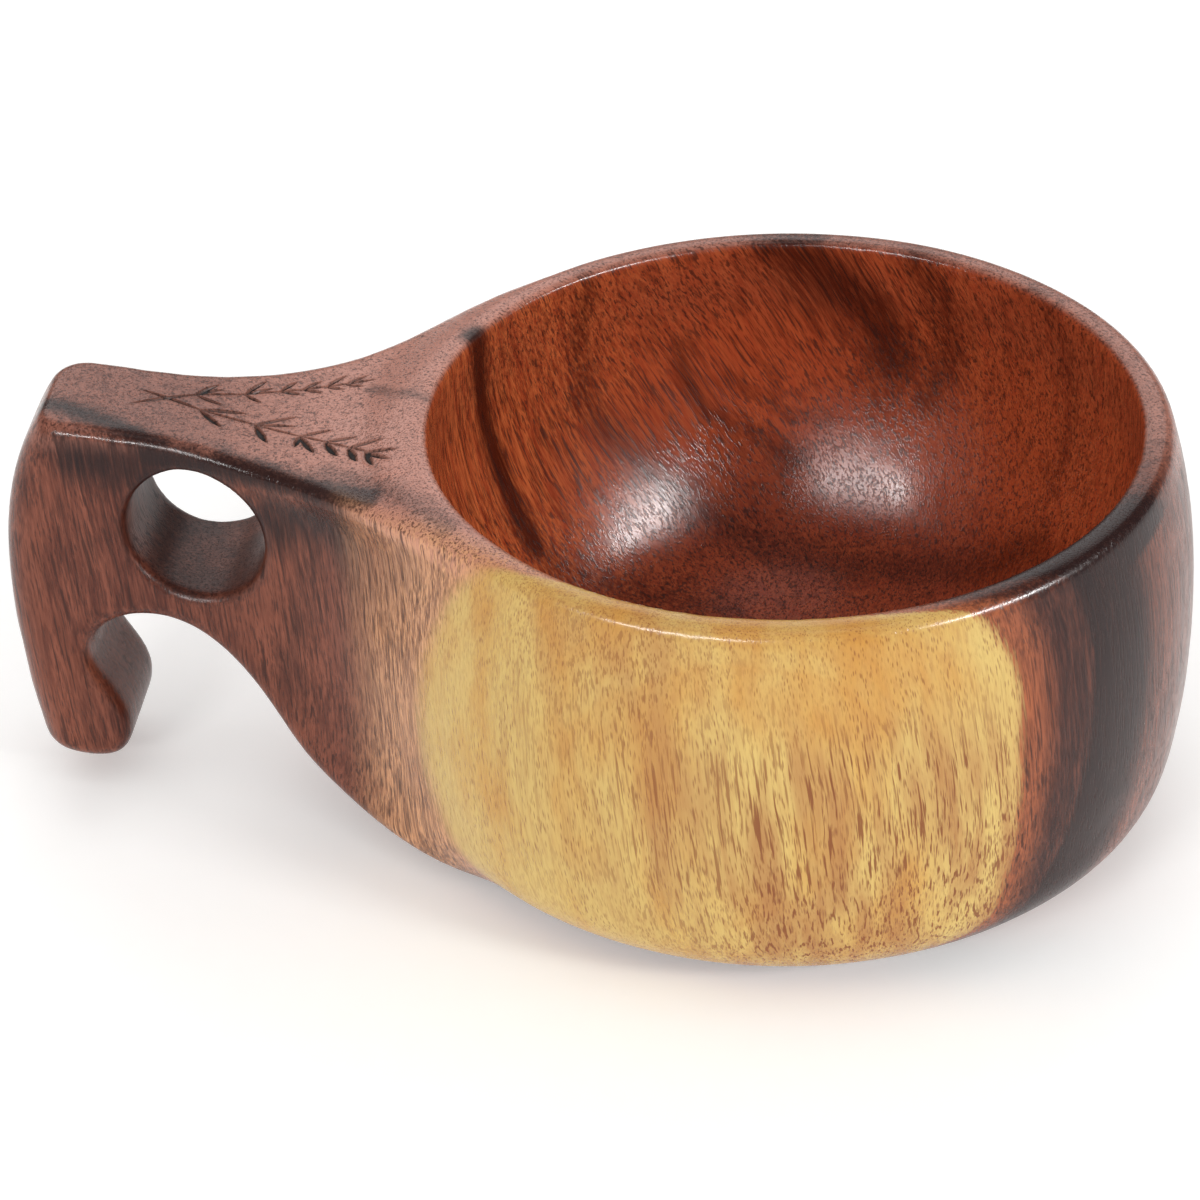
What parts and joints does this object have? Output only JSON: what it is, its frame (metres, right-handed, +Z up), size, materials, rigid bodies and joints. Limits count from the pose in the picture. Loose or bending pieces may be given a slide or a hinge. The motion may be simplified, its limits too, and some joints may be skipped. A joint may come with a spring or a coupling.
{
  "type": "wooden drinking cup",
  "caption": "Carved wooden drinking cup with a round bowl, a hooked handle with a finger hole, and a leafy twig burnt into the handle top.",
  "frame": {"origin": "on the resting plane, under the axis of the bowl", "axes": "+X away from the handle, +Z up; the finger hole runs along Y"},
  "size_m": [0.1565, 0.1066, 0.0572],
  "materials": {
    "carved_wood": "oiled satin, pale sapwood on the front of the bowl and dark heartwood elsewhere",
    "charred_wood": "matt, burnt"
  },
  "bodies": {
    "root": {"cup_body": "carved_wood", "twig_char": "charred_wood"}
  },
  "joints": []
}
